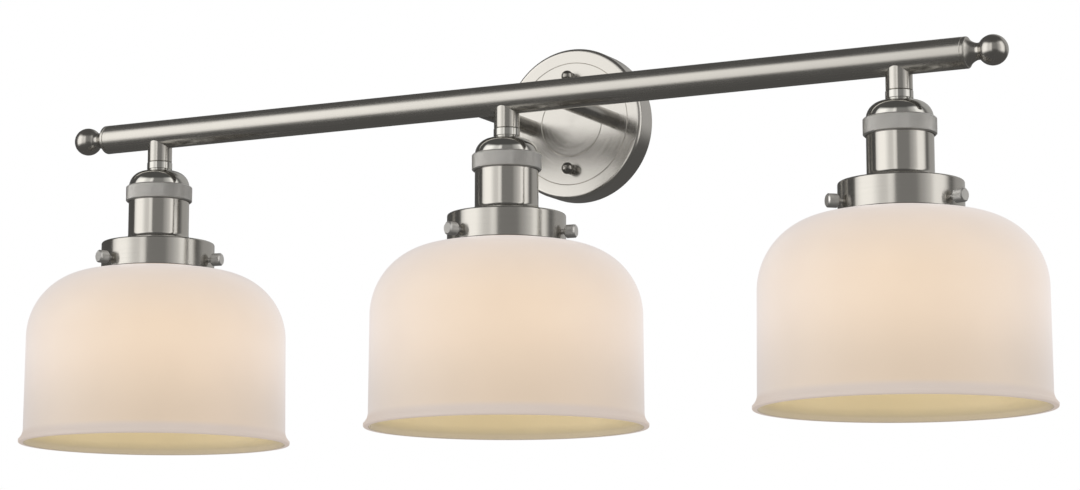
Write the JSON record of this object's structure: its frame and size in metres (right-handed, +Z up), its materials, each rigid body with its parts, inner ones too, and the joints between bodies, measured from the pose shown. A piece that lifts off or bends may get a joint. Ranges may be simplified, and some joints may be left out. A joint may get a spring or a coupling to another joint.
{
  "type": "vanity light bar",
  "caption": "Wall-mounted light bar: a round tube on two arms and a round plate, with lamps in domed sockets under opal bell shades, and ball finials.",
  "frame": {"origin": "centre of the wall plate's back, on the wall, midway between the junction-box screws", "axes": "+X along the bar, +Y into the wall, +Z up"},
  "size_m": [0.8032, 0.2256, 0.2949],
  "materials": {
    "satin_nickel": "satin nickel plate, brushed in fine lines",
    "polished_nickel": "polished nickel plate",
    "knurled_nickel": "satin nickel plate over a diamond knurl",
    "opal_glass": "cased opal glass, smooth and satin, lit from inside",
    "frosted_bulb": "frosted warm-white bulb, lit",
    "bulb_cap": "rolled aluminium screw base",
    "porcelain": "glazed white porcelain",
    "brass": "plain brass",
    "zinc_steel": "zinc-plated steel",
    "green_steel": "green-coloured steel",
    "black_wire": "black insulation",
    "white_wire": "white insulation"
  },
  "bodies": {
    "fixture": {"backplate": "satin_nickel", "crossbar": "zinc_steel", "mounting_studs": "zinc_steel", "stud_nuts": "zinc_steel", "ground_screw": "green_steel", "arm_left": "satin_nickel", "arm_right": "satin_nickel", "arm_nuts": "brass", "bar": "satin_nickel", "end_cap_left": "satin_nickel", "end_cap_right": "satin_nickel", "ball_finial_left": "satin_nickel", "ball_finial_right": "satin_nickel", "nipples": "zinc_steel", "center_contacts": "brass", "terminal_screws": "brass", "holder_rings": "satin_nickel", "wires_black": "black_wire", "wires_white": "white_wire", "left_stem": "satin_nickel", "left_socket_cap": "polished_nickel", "left_socket_shell": "satin_nickel", "left_shade_holder": "satin_nickel", "left_porcelain": "porcelain", "left_screw_shell": "brass", "left_shade": "opal_glass", "center_stem": "satin_nickel", "center_socket_cap": "polished_nickel", "center_socket_shell": "satin_nickel", "center_shade_holder": "satin_nickel", "center_porcelain": "porcelain", "center_screw_shell": "brass", "center_shade": "opal_glass", "right_stem": "satin_nickel", "right_socket_cap": "polished_nickel", "right_socket_shell": "satin_nickel", "right_shade_holder": "satin_nickel", "right_porcelain": "porcelain", "right_screw_shell": "brass", "right_shade": "opal_glass"},
    "ball_nut_top": {"ball_nut_top": "satin_nickel"},
    "ball_nut_bottom": {"ball_nut_bottom": "satin_nickel"},
    "left_thumbscrew_front": {"left_thumbscrew_front": "knurled_nickel"},
    "left_thumbscrew_right": {"left_thumbscrew_right": "knurled_nickel"},
    "left_thumbscrew_back": {"left_thumbscrew_back": "knurled_nickel"},
    "center_thumbscrew_front": {"center_thumbscrew_front": "knurled_nickel"},
    "center_thumbscrew_right": {"center_thumbscrew_right": "knurled_nickel"},
    "center_thumbscrew_back": {"center_thumbscrew_back": "knurled_nickel"},
    "right_thumbscrew_front": {"right_thumbscrew_front": "knurled_nickel"},
    "right_thumbscrew_right": {"right_thumbscrew_right": "knurled_nickel"},
    "right_thumbscrew_back": {"right_thumbscrew_back": "knurled_nickel"},
    "left_bulb": {"left_bulb_glass": "frosted_bulb", "left_bulb_base": "bulb_cap"},
    "center_bulb": {"center_bulb_glass": "frosted_bulb", "center_bulb_base": "bulb_cap"},
    "right_bulb": {"right_bulb_glass": "frosted_bulb", "right_bulb_base": "bulb_cap"},
    "left_knurled_ring": {"left_knurled_ring": "knurled_nickel"},
    "center_knurled_ring": {"center_knurled_ring": "knurled_nickel"},
    "right_knurled_ring": {"right_knurled_ring": "knurled_nickel"}
  },
  "joints": [
    {"name": "ball_nut_top_off", "type": "slide", "parent": "fixture", "child": "ball_nut_top", "axis": [0, -1, 0], "range_m": [0, 0.009]},
    {"name": "ball_nut_bottom_off", "type": "slide", "parent": "fixture", "child": "ball_nut_bottom", "axis": [0, -1, 0], "range_m": [0, 0.009]},
    {"name": "left_thumbscrew_front_out", "type": "slide", "parent": "fixture", "child": "left_thumbscrew_front", "axis": [-0.3746, -0.9272, 0], "range_m": [0, 0.003]},
    {"name": "left_thumbscrew_right_out", "type": "slide", "parent": "fixture", "child": "left_thumbscrew_right", "axis": [0.9903, 0.1392, 0], "range_m": [0, 0.003]},
    {"name": "left_thumbscrew_back_out", "type": "slide", "parent": "fixture", "child": "left_thumbscrew_back", "axis": [-0.6157, 0.788, 0], "range_m": [0, 0.003]},
    {"name": "center_thumbscrew_front_out", "type": "slide", "parent": "fixture", "child": "center_thumbscrew_front", "axis": [-0.4067, -0.9135, 0], "range_m": [0, 0.003]},
    {"name": "center_thumbscrew_right_out", "type": "slide", "parent": "fixture", "child": "center_thumbscrew_right", "axis": [0.9945, 0.1045, 0], "range_m": [0, 0.003]},
    {"name": "center_thumbscrew_back_out", "type": "slide", "parent": "fixture", "child": "center_thumbscrew_back", "axis": [-0.5878, 0.809, 0], "range_m": [0, 0.003]},
    {"name": "right_thumbscrew_front_out", "type": "slide", "parent": "fixture", "child": "right_thumbscrew_front", "axis": [-0.7373, -0.6756, 0], "range_m": [0, 0.003]},
    {"name": "right_thumbscrew_right_out", "type": "slide", "parent": "fixture", "child": "right_thumbscrew_right", "axis": [0.9537, -0.3007, 0], "range_m": [0, 0.003]},
    {"name": "right_thumbscrew_back_out", "type": "slide", "parent": "fixture", "child": "right_thumbscrew_back", "axis": [-0.2164, 0.9763, 0], "range_m": [0, 0.003]},
    {"name": "left_bulb_out", "type": "slide", "parent": "fixture", "child": "left_bulb", "axis": [0, 0, -1], "range_m": [0, 0.03]},
    {"name": "center_bulb_out", "type": "slide", "parent": "fixture", "child": "center_bulb", "axis": [0, 0, -1], "range_m": [0, 0.03]},
    {"name": "right_bulb_out", "type": "slide", "parent": "fixture", "child": "right_bulb", "axis": [0, 0, -1], "range_m": [0, 0.03]},
    {"name": "left_knurled_ring_turn", "type": "hinge", "parent": "fixture", "child": "left_knurled_ring", "pos_m": [-0.3, -0.124, -0.045], "axis": [0, 0, 1], "continuous": true},
    {"name": "center_knurled_ring_turn", "type": "hinge", "parent": "fixture", "child": "center_knurled_ring", "pos_m": [0, -0.124, -0.045], "axis": [0, 0, 1], "continuous": true},
    {"name": "right_knurled_ring_turn", "type": "hinge", "parent": "fixture", "child": "right_knurled_ring", "pos_m": [0.3, -0.124, -0.045], "axis": [0, 0, 1], "continuous": true}
  ]
}
